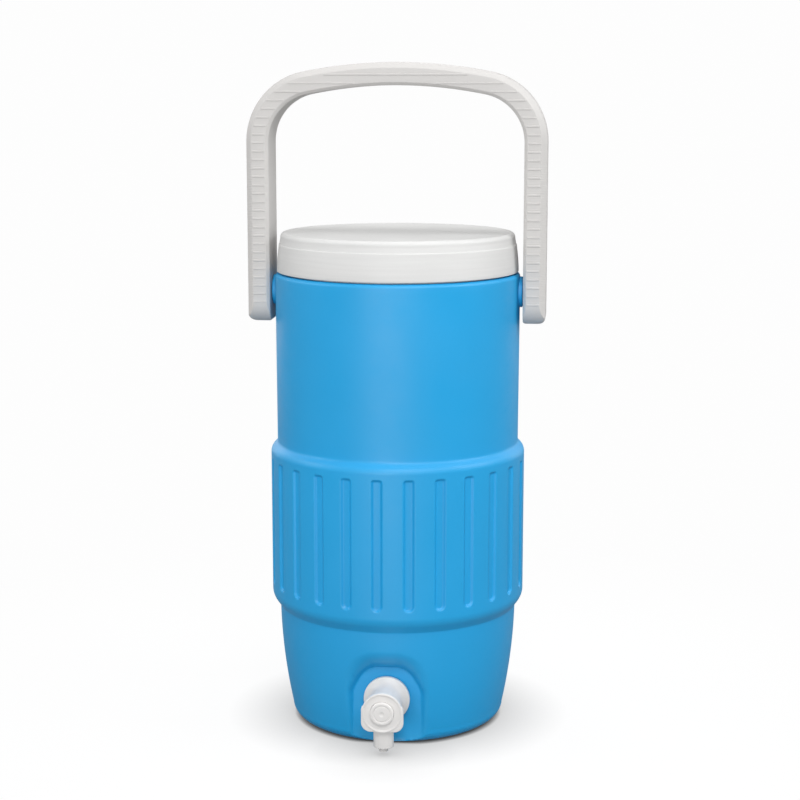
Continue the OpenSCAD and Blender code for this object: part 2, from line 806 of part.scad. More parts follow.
module tap_body() {
    // The slanted passage runs from the chamber's middle down into the spout's bore
    passage_rise = tap_z - spout_top + passage_r;
    passage_run = spout_at - (chamber_front + chamber_back) / 2;
    passage_tilt = atan(passage_run / passage_rise);
    color(tap_white)
        difference() {
            union() {
                tap_round(shank_end, flange_at + over, shank_r, shank_r);
                tap_round(flange_at, flange_at + flange_t, flange_r, flange_r);
                tap_round(flange_at + flange_t - over / 2, barrel_at, cone_r, barrel_r);
                tap_round(barrel_at - over / 2, plate_face - plate_t / 2, barrel_r, barrel_r);
                on_tap()
                    translate([0, 0, plate_face - plate_t])
                        linear_extrude(plate_t)
                            plate_outline();
                translate([0, -spout_at, spout_z])
                    cylinder(r = spout_r, h = spout_join - spout_z);
                translate([0, -spout_at, root_z])
                    cylinder(r = spout_r + root_proud, h = spout_join - root_z);
            }
            tap_round(shank_end - over, seat_at, inlet_r, inlet_r);
            tap_round(seat_at - over, chamber_back + over, seat_hole_r, seat_hole_r);
            tap_round(chamber_back, chamber_front, chamber_r, chamber_r);
            tap_round(chamber_front - over, chamber_front + stem_seal_t,
                stem_seal_r + stem_seal_gap, stem_seal_r + stem_seal_gap);
            tap_round(chamber_front, bore_floor + over, stem_r + stem_clear, stem_r + stem_clear);
            tap_round(bore_floor, plate_face + over, button_bore_r, button_bore_r);
            translate([0, -spout_at, spout_z - over])
                cylinder(r = spout_bore_r, h = spout_top - spout_z + over);
            translate([0, -spout_at, spout_top - passage_r])
                rotate([-passage_tilt, 0, 0])
                    cylinder(r = passage_r, h = passage_rise / cos(passage_tilt));
        }
}

module tap_nozzle() {
    color(tap_white)
        translate([0, -spout_at, 0])
            difference() {
                union() {
                    translate([0, 0, nozzle_z])
                        cylinder(r = nozzle_tip_r, h = spout_z - nozzle_z + over);
                    translate([0, 0, spout_z])
                        cylinder(r = spout_bore_r - nozzle_clear, h = nozzle_in);
                }
                translate([0, 0, nozzle_z - over])
                    cylinder(r = nozzle_bore_r, h = spout_z - nozzle_z + nozzle_in + 2 * over);
            }
}

module tap_outer_washer() {
    color(rubber_grey)
        tap_ring(face_at, flange_at, outer_washer_r, shank_hole_r);
}

module tap_inner_washer() {
    color(rubber_grey)
        tap_ring(liner_in_at - washer_t, liner_in_at, inner_washer_r, shank_hole_r);
}

module tap_nut() {
    color(tap_white)
        difference() {
            on_tap()
                translate([0, 0, nut_at])
                    cylinder(r = nut_r, h = nut_t, $fn = 6);
            tap_round(nut_at - over, nut_at + nut_t + over, shank_r + stem_seat_clear,
                shank_r + stem_seat_clear);
        }
}

module tap_button() {
    hollow_r = button_r - button_skirt_t;
    socket_r = stem_r + stem_seat_clear + socket_wall;
    ring_r = button_r - 2 * button_skirt_t;
    dimple_r = button_skirt_t;
    color(tap_white)
        difference() {
            union() {
                difference() {
                    tap_round(button_face - button_l, button_face, button_r, button_r);
                    tap_round(button_face - button_l - over, button_in, hollow_r, hollow_r);
                }
                tap_round(button_face - button_l + button_travel, button_in + over / 2,
                    socket_r, socket_r);
            }
            tap_round(button_face - button_l, button_in, stem_r + stem_seat_clear,
                stem_r + stem_seat_clear);
            // Shallow ring and dimple in the face
            tap_ring(button_face - button_face_t / 4, button_face + over,
                ring_r + button_skirt_t / 2, ring_r);
            tap_round(button_face - button_face_t / 4, button_face + over, dimple_r, dimple_r);
        }
}

module tap_stem() {
    color(tap_white)
        union() {
            tap_round(seat_at - valve_t - stem_head_t / 2, stem_front, stem_r, stem_r);
            tap_round(seat_at - valve_t - stem_head_t, seat_at - valve_t, stem_head_r, stem_head_r);
        }
}

module tap_stem_seal() {
    color(rubber_grey)
        tap_ring(chamber_front, chamber_front + stem_seal_t, stem_seal_r, stem_r + stem_clear);
}

module tap_valve_seal() {
    color(rubber_grey)
        tap_ring(seat_at - valve_t, seat_at, valve_r, stem_r + stem_seat_clear);
}

// Coil of the return spring as one closed tube, between the bore's floor and the button
module tap_spring() {
    sides = 8;
    rings_per_turn = 16;
    rings = spring_turns * rings_per_turn;
    wire_r = spring_wire / 2;
    low = bore_floor + spring_gap + wire_r;
    rise = button_in - spring_gap - wire_r - low;
    points = [for (i = [0:rings], j = [0:sides - 1])
        let (turn = 360 * i / rings_per_turn, side = 360 * j / sides, r = spring_r + wire_r * cos(side))
        [r * cos(turn), r * sin(turn), low + rise * i / rings + wire_r * sin(side)]];
    walls = [for (i = [0:rings - 1], j = [0:sides - 1])
        let (a = i * sides + j, b = i * sides + (j + 1) % sides)
        [b, a, a + sides, b + sides]];
    ends = [[for (j = [0:sides - 1]) j], [for (j = [sides - 1:-1:0]) rings * sides + j]];
    color(steel)
        on_tap()
            polyhedron(points = points, faces = concat(walls, ends));
}

outer_shell();
foam_fill_plug();
insulation_foam();
inner_liner();
lid_shell();
lid_pan();
lid_foam();
lid_gasket();
handle_bail();
handle_pin_left();
handle_pin_right();
tap_body();
tap_nozzle();
tap_outer_washer();
tap_inner_washer();
tap_nut();
tap_button();
tap_stem();
tap_stem_seal();
tap_valve_seal();
tap_spring();
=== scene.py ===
import math

import bmesh
import bpy
import numpy as np
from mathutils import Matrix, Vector


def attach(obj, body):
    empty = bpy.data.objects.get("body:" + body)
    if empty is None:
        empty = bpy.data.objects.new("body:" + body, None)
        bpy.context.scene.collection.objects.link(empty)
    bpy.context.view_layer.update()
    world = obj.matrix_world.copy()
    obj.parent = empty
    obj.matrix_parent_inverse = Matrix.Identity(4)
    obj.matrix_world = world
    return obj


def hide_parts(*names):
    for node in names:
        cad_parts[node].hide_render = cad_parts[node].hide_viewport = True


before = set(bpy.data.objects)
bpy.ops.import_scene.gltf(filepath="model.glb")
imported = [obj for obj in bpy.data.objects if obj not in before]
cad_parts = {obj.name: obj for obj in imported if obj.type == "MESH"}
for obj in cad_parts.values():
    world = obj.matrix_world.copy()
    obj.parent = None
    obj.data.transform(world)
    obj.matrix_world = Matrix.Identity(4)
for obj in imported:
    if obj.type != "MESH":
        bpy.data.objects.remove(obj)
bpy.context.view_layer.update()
MM = 0.001
# points closer than this, in metres, are one
WELD = 1e-6

# ---------------------------------------------------------------- mesh helpers


def make(name, verts, faces, sharp=35):
    """A mesh object from points in millimetres, smooth except at edges sharper than an angle."""
    me = bpy.data.meshes.new(name)
    me.from_pydata([tuple(float(c) * MM for c in v) for v in verts], [], faces)
    me.validate()
    me.shade_smooth()
    me.set_sharp_from_angle(angle=math.radians(sharp))
    ob = bpy.data.objects.new(name, me)
    bpy.context.scene.collection.objects.link(ob)
    return ob


def grid_faces(nu, nv, u_closed, v_closed):
    """Quads of a grid of nu by nv points, stored row by row along u."""
    out = []
    for i in range(nu if u_closed else nu - 1):
        for j in range(nv if v_closed else nv - 1):
            a, b = i * nv + j, ((i + 1) % nu) * nv + j
            c, d = ((i + 1) % nu) * nv + (j + 1) % nv, i * nv + (j + 1) % nv
            out.append((a, b, c, d))
    return out


def lathe(profile, n, axis="z", at=(0, 0, 0)):
    """Points and quads of a closed profile of (r, s) turned about an axis, s running along it."""
    pts = []
    for i in range(n):
        a = 2 * math.pi * i / n
        ca, sa = math.cos(a), math.sin(a)
        for r, s in profile:
            if axis == "z":
                p = (r * ca, r * sa, s)
            elif axis == "-y":
                p = (r * ca, -s, r * sa)
            else:
                p = (s, r * ca, r * sa)
            pts.append((p[0] + at[0], p[1] + at[1], p[2] + at[2]))
    faces = grid_faces(n, len(profile), True, True)
    if axis == "-y":
        faces = [f[::-1] for f in faces]
    return pts, faces


def arc(cx, cz, r, a0, a1, n):
    """Points of an arc between two angles in degrees."""
    return [
        (cx + r * math.cos(math.radians(a0 + (a1 - a0) * k / n)),
         cz + r * math.sin(math.radians(a0 + (a1 - a0) * k / n)))
        for k in range(n + 1)
    ]


def rounded(points, radii, n=4):
    """A closed outline whose corners are rounded, each by its own radius."""
    out = []
    m = len(points)
    for i in range(m):
        p0, p1, p2 = (np.array(points[(i + k) % m], float) for k in (-1, 0, 1))
        a, b = p0 - p1, p2 - p1
        la, lb = np.linalg.norm(a), np.linalg.norm(b)
        r = radii[i] if isinstance(radii, (list, tuple)) else radii
        cosine = float(np.clip(a @ b / (la * lb), -1, 1))
        half = math.acos(cosine) / 2
        t = r / math.tan(half) if half > 1e-6 else 0
        t = min(t, 0.49 * la, 0.49 * lb)
        if r <= 0 or t < 1e-4 or half > math.radians(88):
            out.append(tuple(p1))
            continue
        q0, q1 = p1 + a / la * t, p1 + b / lb * t
        for k in range(n + 1):
            s = k / n
            out.append(tuple((1 - s) ** 2 * q0 + 2 * s * (1 - s) * p1 + s**2 * q1))
    return out


def merge(parts):
    """One list of points and faces from several."""
    pts, faces = [], []
    for p, f in parts:
        o = len(pts)
        pts += list(p)
        faces += [tuple(k + o for k in q) for q in f]
    return pts, faces


def smooth01(t):
    """A smooth step from 0 to 1."""
    t = np.clip(t, 0, 1)
    return t * t * (3 - 2 * t)


def cut(ob, tools, op="DIFFERENCE"):
    """Applies booleans with closed tool objects, which are then removed."""
    for t in tools:
        m = ob.modifiers.new("b", "BOOLEAN")
        m.operation = op
        m.solver = "MANIFOLD"
        m.object = t
    dg = bpy.context.evaluated_depsgraph_get()
    me = bpy.data.meshes.new_from_object(ob.evaluated_get(dg))
    ob.modifiers.clear()
    old = ob.data
    ob.data = me
    bpy.data.meshes.remove(old)
    for t in tools:
        bpy.data.objects.remove(t)


def smooth_again(ob, sharp):
    """Smooth shading, except at edges sharper than an angle."""
    ob.data.shade_smooth()
    ob.data.set_sharp_from_angle(angle=math.radians(sharp))


def fix_normals(ob, weld=True):
    """Turns every face outwards, after welding double points."""
    bm = bmesh.new()
    bm.from_mesh(ob.data)
    if weld:
        bmesh.ops.remove_doubles(bm, verts=bm.verts, dist=WELD)
    bmesh.ops.recalc_face_normals(bm, faces=bm.faces)
    bm.to_mesh(ob.data)
    bm.free()


def tool(name, data):
    """A closed object from points and faces, its faces turned outwards and no point welded."""
    ob = make(name, *data)
    fix_normals(ob, weld=False)
    return ob


def rod(axis, at, r, s0, s1, n=96):
    """A closed round tool along an axis."""
    pts, faces = lathe([(r, s0), (r, s1)], n, axis, at)
    faces = [f for i, f in enumerate(faces) if i % 2 == 0]
    ends = [tuple(2 * i for i in range(n)), tuple(2 * i + 1 for i in reversed(range(n)))]
    if axis == "-y":
        ends = [e[::-1] for e in ends]
    return pts, faces + ends


def closed_lathe(prof, n, axis, at=(0, 0, 0)):
    """A lathe whose profile starts and ends on the axis."""
    pts, faces = lathe(prof, n, axis, at)
    m = len(prof)
    return pts, [f for f in faces if {v % m for v in f} != {0, m - 1}]


def spin(name, prof, n, axis, at=(0, 0, 0)):
    """A closed lathe as an object."""
    ob = make(name, *closed_lathe(prof, n, axis, at))
    fix_normals(ob)
    return ob


# ---------------------------------------------------------------- sizes, in millimetres

# body: height, radius at the top, above the band and below it, and the taper's curve radius
BODY_H, BODY_R, UP_LOW_R, LOW_TOP_R, TAPER = 392.5, 105.0, 104.4, 103.3, 475.0
WALL, TOP_ROUND, TOP_HOLE_R, UPPER_H = 2.5, 3.5, 93.5, 143.0
# inner radii above the band and in it
UP_IN_R, BAND_IN_R = 101.9, 105.5
# base: foot ring, hollow, middle pad, filling hole
FOOT_IN_R, HOLLOW_H, PAD_R, PAD_FAN_R = 76.05, 2.5, 22.0, 8.0
FILL_Y, FILL_R = 48.0, 8.0
BASE_ROUND, BASE_RX, BASE_RZ = 9.0, 13.5, 11.5
BAND_Z, BAND_TOP, BAND_R = 101.7, 246.1, 110.0
BAND_LOW_Z, BAND_LOW_ROUND, BAND_LOW_ANGLE = 115.59, 14.0, 36
BAND_UP_Z, BAND_UP_ROUND, BAND_UP_ANGLE = 237.19, 8.0, 45
# flutes: number, width, depth, bearing of the first in degrees, corner, lower and upper end
FLUTES, FLUTE_W, FLUTE_D, FLUTE_TURN, FLUTE_CORNER = 26, 8.9, 2.0, -3.2, 2.2
FLUTE_Z0, FLUTE_Z1 = 121.6, 232.5
FLUTE_SOFT, FLUTE_OUTSET, FLUTE_DISH = 2.4, 0.75, 0.35
# recess: distance of its floor from the axis, width, height, arch radius
FACE, RECESS_W, RECESS_H, RECESS_R = 87.0, 71.0, 84.0, 26.0
# width of its slope at the sides and what the arch adds, over these heights
SLOPE_W, SLOPE_ARCH_W, ARCH_FROM, ARCH_SPAN, SLOPE_OUTSET = 7.5, 11.0, 44.0, 26.0, 1.2
# the floor lies deeper by this near the base, below this height and over this span
FLOOR_DEEPER, DEEPER_TOP, DEEPER_SPAN = 1.3, 32.0, 26.0
RECESS_REACH_Z, RECESS_REACH_COS = 108, 0.72
# flutes and recess are worked out below this height and outside this radius
DETAIL_TOP, DETAIL_R = 250, 80
PIVOT_Z, BOSS_X, BOSS_ROOT_X, BOSS_R, BOSS_ROUND, PIN_R = 376.3, 107.5, 98.0, 13.1, 1.0, 5.0
# tap: height of its axis, spout's place, hole, bore in the button, shank and spout
TAP_Z, SPOUT_Y, TAP_HOLE_R, INLET_R, NOZZLE_R = 40.5, -115, 9.7, 7.2, 5.7


def lower_r(z):
    """Outer radius of the curved part below the band."""
    return LOW_TOP_R - TAPER + np.sqrt(TAPER**2 - (BAND_Z + BASE_ROUND - z) ** 2)


# ---------------------------------------------------------------- outer shell


def outer_profile():
    """The body's outside from the foot ring's inner edge to the top hole, as (r, z)."""
    foot = float(lower_r(BASE_RZ)) - BASE_RX
    p = [(FOOT_IN_R, HOLLOW_H), (FOOT_IN_R, 0.6), (FOOT_IN_R + 0.25, 0.15), (FOOT_IN_R + 0.85, 0.0)]
    p.append((78, 0))
    for a in np.radians(np.linspace(-90, -8, 15)):
        p.append((foot + BASE_RX * math.cos(a), BASE_RZ * (1 + math.sin(a))))
    for z in np.arange(BASE_RZ + 0.4, BAND_Z - 1.4, 1.2):
        p.append((float(lower_r(z)), float(z)))
    # the crease under the band is a small fillet into the chamfer
    r0 = float(lower_r(BAND_Z))
    sl = math.tan(math.radians(BAND_LOW_ANGLE))
    p += [(r0, BAND_Z - 1.0), (r0 + 0.04, BAND_Z - 0.45), (r0 + 0.2, BAND_Z + 0.15)]
    p += [(r0 + 0.55 + sl * d, BAND_Z + 0.75 + d) for d in (0.0, 1.2, 2.4, 3.6, 4.8)]
    p += arc(BAND_R - BAND_LOW_ROUND, BAND_LOW_Z, BAND_LOW_ROUND, -BAND_LOW_ANGLE, 0, 14)
    for z in np.arange(BAND_LOW_Z + 0.7, 128.5, 0.6):
        p.append((BAND_R, float(z)))
    for z in np.linspace(130, 226, 9):
        p.append((BAND_R, float(z)))
    for z in np.arange(227.2, BAND_UP_Z - 0.2, 0.5):
        p.append((BAND_R, float(z)))
    p += arc(BAND_R - BAND_UP_ROUND, BAND_UP_Z, BAND_UP_ROUND, 0, BAND_UP_ANGLE, 12)
    # the crease above the band, as steps out from the wall and up from the band's top
    crease = [(2.0, -2.0), (1.1, -1.1), (0.5, -0.35), (0.16, 0.4), (0.03, 1.2), (0.0, 2.2)]
    p += [(UP_LOW_R + dr, BAND_TOP + dz) for dr, dz in crease]
    for z in np.linspace(254, 384, 12):
        p.append((UP_LOW_R + (BODY_R - UP_LOW_R) * (z - BAND_TOP) / UPPER_H, float(z)))
    p += arc(BODY_R - TOP_ROUND, BODY_H - TOP_ROUND, TOP_ROUND, 0, 90, 10)
    p += [(98.0, BODY_H), (TOP_HOLE_R + 0.9, BODY_H)]
    p += [(TOP_HOLE_R, BODY_H - 0.7), (TOP_HOLE_R, BODY_H - WALL)]
    return p


def inner_profile():
    """The shell's inside from the top hole down to the base's hollow."""
    p = [(UP_IN_R + 0.5, BODY_H - WALL), (UP_IN_R, BAND_TOP + 0.9), (UP_IN_R, BAND_TOP - WALL)]
    p += [(BAND_IN_R, BAND_UP_Z), (BAND_IN_R, BAND_LOW_Z), (100.4, BAND_Z)]
    for z in np.linspace(94, 14, 12):
        p.append((float(lower_r(z)) - WALL, float(z)))
    p += [(84.0, HOLLOW_H + WALL), (PAD_R, HOLLOW_H + WALL)]
    return p


def outline_distance(x, z):
    """Signed distance to the recess's outline, negative inside."""
    half = RECESS_W / 2
    qx = np.abs(x) - (half - RECESS_R)
    qz = z - (RECESS_H - RECESS_R)
    return np.where(
        qz > 0,
        np.where(qx > 0, np.hypot(np.maximum(qx, 0), np.maximum(qz, 0)), qz) - RECESS_R,
        np.abs(x) - half,
    )


def recess_limit(x, z, r):
    """How far out from the axis the recess lets a wall of radius r reach, along -Y."""
    s = outline_distance(x, z) - SLOPE_OUTSET
    width = SLOPE_W + SLOPE_ARCH_W * smooth01((z - ARCH_FROM) / ARCH_SPAN)
    t = np.clip((s + width) / width, 0, 1)
    floor = FACE - FLOOR_DEEPER * smooth01((DEEPER_TOP - z) / DEEPER_SPAN)
    wall = np.sqrt(np.maximum(r * r - x * x, 0))
    # steep where it leaves the floor, level where it meets the wall
    return np.where(wall > floor, floor + (wall - floor) * (2 * t - t * t), wall)


def body_radius(theta, r, z):
    """Radius of the outside at a bearing from -Y, with the flutes and the recess taken out."""
    out = np.array(r, float) * np.ones_like(theta)
    if FLUTE_Z0 - 4 < z < FLUTE_Z1 + 4:
        pitch = 2 * math.pi / FLUTES
        off = math.radians(FLUTE_TURN)
        a = (theta - off + pitch / 2) % pitch - pitch / 2
        x = np.abs(a) * BAND_R
        half = FLUTE_W / 2
        # round lower end, square upper end with small corners
        if z < FLUTE_Z0 + half:
            s = np.hypot(x, z - (FLUTE_Z0 + half)) - half
        else:
            c = FLUTE_CORNER
            dx, dz = x - (half - c), z - (FLUTE_Z1 - c)
            s = np.where(
                (dx > 0) & (dz > 0), np.hypot(np.maximum(dx, 0), max(dz, 0)), np.maximum(dx, dz)
            ) - c
        wall = smooth01((FLUTE_OUTSET - s) / FLUTE_SOFT)
        floor = FLUTE_DISH * (np.clip(x / half, 0, 1)) ** 2
        out -= wall * (FLUTE_D - floor)
    if z < RECESS_REACH_Z:
        front = np.cos(theta) > RECESS_REACH_COS
        if front.any():
            # the limit is a distance along -Y; the radius follows by fixed-point steps
            rr = out.copy()
            for _ in range(8):
                lim = recess_limit(rr * np.sin(theta), z, out) / np.cos(np.where(front, theta, 0))
                rr = np.where(front, 0.5 * rr + 0.5 * np.minimum(lim, out), out)
            out = rr
    return out


def shell_columns():
    """Bearings of the columns: close together at the flutes' edges and in the recess."""
    # distances from a flute's middle, and the widest column in the recess
    mm = [0, 1.2, 2.2, 2.9, 3.3, 3.7, 4.05, 4.4, 4.75, 5.2, 5.9, 7.4, 9.4, 11.4]
    fine_w = 1.05
    half = math.pi * BAND_R / FLUTES
    rel = sorted({round(s * v / BAND_R, 6) for v in mm for s in (-1, 1)}) + [half / BAND_R]
    pitch = 2 * math.pi / FLUTES
    turn = math.radians(FLUTE_TURN)
    cols = sorted((k * pitch + a + turn) % (2 * math.pi) for k in range(FLUTES) for a in rel)
    fine = []
    for i, a in enumerate(cols):
        b = cols[(i + 1) % len(cols)] + (2 * math.pi if i == len(cols) - 1 else 0)
        fine.append(a)
        mid = (a + b) / 2
        if math.cos(mid) > math.cos(math.radians(27)):
            n = int(math.ceil((b - a) * BAND_R / fine_w))
            fine += [a + (b - a) * k / n for k in range(1, n)]
    return np.array(fine)


def build_shell():
    """The shell as one loop of rows: outside, inside, then the hollow under the base."""
    theta = shell_columns()
    outer, inner = outer_profile(), inner_profile()
    rows = []
    for r, z in outer:
        shaped = z < DETAIL_TOP and r > DETAIL_R
        rr = body_radius(theta, r, z) if shaped else np.full_like(theta, r)
        rows.append((rr, np.full_like(theta, z)))
    for r, z in inner:
        rr = np.full_like(theta, r)
        if z < RECESS_H + 2:
            lim = (FACE - WALL) / np.maximum(np.cos(theta), 0.2)
            rr = np.where(np.cos(theta) > 0.7, np.minimum(rr, lim), rr)
        rows.append((rr, np.full_like(theta, z)))
    # the hollow ring under the base closes the loop: pad, then the ring's roof
    pad = [(PAD_FAN_R, HOLLOW_H + WALL), (PAD_FAN_R, 0.0)]
    pad += [(PAD_R - 0.8, 0.0), (PAD_R - 0.2, 0.2), (PAD_R, 0.7), (PAD_R, HOLLOW_H)]
    for r, z in pad:
        rows.append((np.full_like(theta, r), np.full_like(theta, z)))
    R = np.array([a for a, _ in rows])
    Z = np.array([b for _, b in rows])
    X, Y = R * np.sin(theta)[None, :], -R * np.cos(theta)[None, :]
    n, m = X.shape
    pts = np.stack([X.T, Y.T, Z.T], axis=2).reshape(-1, 3)
    faces = grid_faces(m, n, True, True)
    # the middle of the base pad is closed by two discs
    c0, c1 = len(pts), len(pts) + 1
    pts = np.vstack([pts, [[0, 0, HOLLOW_H + WALL]], [[0, 0, 0.0]]])
    k_up = len(outer) + len(inner)
    keep = [f for f in faces if {v % n for v in f} != {k_up, k_up + 1}]
    for i in range(m):
        j = (i + 1) % m
        keep.append((i * n + k_up, j * n + k_up, c0))
        keep.append((j * n + k_up + 1, i * n + k_up + 1, c1))
    return make("shell_outer", pts, keep, 50)


shell = build_shell()
fix_normals(shell)
bosses, bores = [], []
for side in (-1, 1):
    prof = [(0.01, BOSS_ROOT_X), (BOSS_R, BOSS_ROOT_X), (BOSS_R, BOSS_X - BOSS_ROUND - 0.1)]
    prof += arc(BOSS_R - BOSS_ROUND, BOSS_X - BOSS_ROUND, BOSS_ROUND, 0, 90, 5) + [(0.01, BOSS_X)]
    pts, faces = lathe([(r, side * s) for r, s in prof], 96, "x", (0, 0, PIVOT_Z))
    bosses.append(tool("t_boss", (pts, faces)))
    pin_hole = rod("x", (0, 0, PIVOT_Z), PIN_R + 0.06, side * (BOSS_ROOT_X - 1.1), side * (BOSS_X + 1.5))
    bores.append(tool("t_bore", pin_hole))
holes = [
    tool("t_tap", rod("-y", (0, 0, TAP_Z), TAP_HOLE_R, FACE - 7, FACE + 5)),
    tool("t_fill", rod("z", (0, FILL_Y, 0), FILL_R, -1, 7)),
]
for b in bosses:
    fix_normals(b)
cut(shell, bosses, "UNION")
cut(shell, bores + holes, "DIFFERENCE")
smooth_again(shell, 42)
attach(shell, "jug")
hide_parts("outer_shell")

# ---------------------------------------------------------------- lid


# lid: lower edge, top, underside of the roof, crease, inner radius of the skirt
LID_LOW, LID_TOP, LID_ROOF, LID_CREASE, SKIRT_IN_R, LID_SIDES = 393.8, 426.5, 425.2, 416.95, 98.6, 240
# lugs in the skirt: number, middle of the first and length in degrees, height, rise in a turn
LUGS, LUG_AT, LUG_SPAN, LUG_Z, LEAD, LUG_ROOT_R = 3, -23.5, 30, 403.93, 24, 98.9


def lug(first):
    """One lug on a helix inside the skirt, with rounded ends."""
    m = 40
    pts = []
    for i in range(m + 1):
        u = i / m
        deg = LUG_AT + first - LUG_SPAN / 2 + LUG_SPAN * u
        end = math.sqrt(max(0.0, 1 - max(0, abs(2 * u - 1) - 0.9) ** 2 / 0.01))
        tip_r = LUG_ROOT_R - (1.2 + 2.9 * end)
        a = math.radians(deg)
        zc = LUG_Z + LEAD * (deg - LUG_AT - first) / 360
        corners = [(LUG_ROOT_R, -1.5), (LUG_ROOT_R, 1.5), (tip_r, 1.3), (tip_r, -1.3)]
        ring = rounded(corners, 0.35, 2)
        pts += [(r * math.cos(a), r * math.sin(a), zc + dz) for r, dz in ring]
    s = len(ring)
    faces = grid_faces(m + 1, s, False, True)
    faces += [tuple(range(s))[::-1], tuple(m * s + k for k in range(s))]
    return pts, faces


def build_lid():
    """The cap from the skirt's inner edge round the outside to the roof's underside, and its lugs."""
    p = [(SKIRT_IN_R, LID_LOW + 0.5), (SKIRT_IN_R + 0.3, LID_LOW + 0.15), (SKIRT_IN_R + 0.8, LID_LOW)]
    p += [(103.1, LID_LOW)] + arc(103.1, LID_LOW + 0.5, 0.5, -90, 0, 5)
    p += [(103.5, 398), (103.1, 404), (102.5, 410), (101.95, 414.5), (101.8, 416.2)]
    p += [(101.7, LID_CREASE - 0.25), (101.5, LID_CREASE), (101.25, LID_CREASE + 0.25)]
    p += [(101.1, 417.7), (100.9, 419), (100.55, 421)]
    p += arc(96.4, 422.9, 3.95, -4, 88, 12)
    p += [(95.9, LID_TOP + 0.3), (95.1, LID_TOP + 0.1), (94.2, LID_TOP)]
    p += [(r, LID_TOP) for r in (80, 60, 40, 20)]
    q = [(20, LID_ROOF), (60, LID_ROOF), (92.4, LID_ROOF), (92.4, 422.3), (92.7, 422.0)]
    q += [(SKIRT_IN_R - 0.3, 422.0), (SKIRT_IN_R, 421.7)]
    prof = p + q
    pts, faces = lathe(prof, LID_SIDES)
    # two discs close the middle, above and below
    n, k = len(prof), len(p) - 1
    faces = [f for f in faces if {v % n for v in f} != {k, k + 1}]
    c0, c1 = len(pts), len(pts) + 1
    pts += [(0, 0, LID_TOP), (0, 0, LID_ROOF)]
    for i in range(LID_SIDES):
        j = (i + 1) % LID_SIDES
        faces.append((i * n + k, j * n + k, c0))
        faces.append((j * n + k + 1, i * n + k + 1, c1))
    return merge([(pts, faces)] + [lug(k * 360 // LUGS) for k in range(LUGS)])


lid = tool("lid_cap", build_lid())
smooth_again(lid, 28)
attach(lid, "lid")
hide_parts("lid_shell")

# ---------------------------------------------------------------- handle

# handle: inner side of the leg, thickness, depth, then the arcs of the top and the shoulder
LEG_X, BAIL_T, BAIL_W = 108.0, 19.2, 45.0
ARCH_R, ARCH_Z = 400.0, 169.4
SH_R, SH_X, SH_Z = 60.0, 67.2, 502.69
SH_ANGLE = math.degrees(math.acos(SH_X / (ARCH_R - SH_R)))
LEG_END = 349.6
# the face lies back by this behind the ribs; bevels outside and inside
FACE_BACK, BEVEL_OUT, BEVEL_IN = 0.5, 5.3, 3.0
# rounding of a leg's end, seen from the side, at its outside and at its inside
END_R, END_OUT_R, END_IN_R = 17.0, 7.0, 3.0
# serrations along the legs' bevels, and the ribs: pitch and height of the lowest
SERRATION, SERRATION_PITCH, RIB_PITCH, RIB_FROM_Z = 0.22, 1.42, 7.1, 367.4


def bail_ring(t0, t1, w, bo, bi):
    """Rounded and bevelled section between two distances across the handle, w half its depth."""
    bo = max(bo, 0.9)
    bi = max(bi, 0.7)
    pts = [
        (t0, w - bi), (t0, -(w - bi)), (t0 + bi, -w), (t1 - bo, -w),
        (t1, -(w - bo)), (t1, w - bo), (t1 - bo, w), (t0 + bi, w),
    ]
    radii = [min(0.9, bi * 0.6)] * 3 + [min(1.3, bo * 0.6)] * 4 + [min(0.9, bi * 0.6)]
    return rounded(pts, radii, 3)


def leg_path():
    """Stations of the handle from the left leg's end to the right one's: centre line data."""
    st = []
    # heights near a leg's end crowd together for the rounding
    hs = [0, 0.05, 0.2, 0.45, 0.8, 1.2, 1.7, 2.3, 3.0, 3.8, 4.7, 5.7, 6.8, 8, 9.3, 10.7, 12.2]
    hs += [13.8, 15.4, END_R]
    st += [("leg", h) for h in hs]
    step = 0.35
    h = END_R + step
    while h < SH_Z - LEG_END:
        st.append(("leg", h))
        h += step
    st.append(("leg", SH_Z - LEG_END))
    n = 56
    st += [("sh", SH_ANGLE * k / n) for k in range(1, n + 1)]
    m = 70
    st += [("arch", SH_ANGLE + (90 - SH_ANGLE) * k / m) for k in range(1, m + 1)]
    return st


def corner(r, h):
    """How far a rounded end of radius r is drawn in at height h above its tip."""
    return r - math.sqrt(max(0.0, r * r - (r - h) ** 2)) if h < r else 0.0


def station(s):
    """Origin, outward direction and section of a station on the right-hand half."""
    kind, v = s
    if kind == "leg":
        h = v
        dy, dxo, dxi = corner(END_R, h), corner(END_OUT_R, h), corner(END_IN_R, h)
        z = LEG_END + h
        # fine serrations along the outer bevel, dying out at both ends
        amp = SERRATION * smooth01((h - 18) / 3) * smooth01((SH_Z - LEG_END - 8 - h) / 10)
        ser = amp * (0.5 - 0.5 * math.cos(2 * math.pi * h / SERRATION_PITCH))
        ring = bail_ring(
            LEG_X + dxi, LEG_X + BAIL_T - dxo, BAIL_W / 2 - FACE_BACK - dy - 0.3 * ser,
            BEVEL_OUT - FACE_BACK - dy - dxo + ser, BEVEL_IN - FACE_BACK - dy - dxi + ser * 0.5,
        )
        return np.array([0, 0, z]), np.array([1.0, 0, 0]), ring
    a = math.radians(v)
    d = np.array([math.cos(a), 0, math.sin(a)])
    w = BAIL_W / 2 - FACE_BACK
    if kind == "sh":
        o, r = np.array([SH_X, 0, SH_Z]), SH_R
    else:
        o, r = np.array([0, 0, ARCH_Z]), ARCH_R
    return o, d, bail_ring(r - BAIL_T, r, w, BEVEL_OUT - FACE_BACK, BEVEL_IN - FACE_BACK)


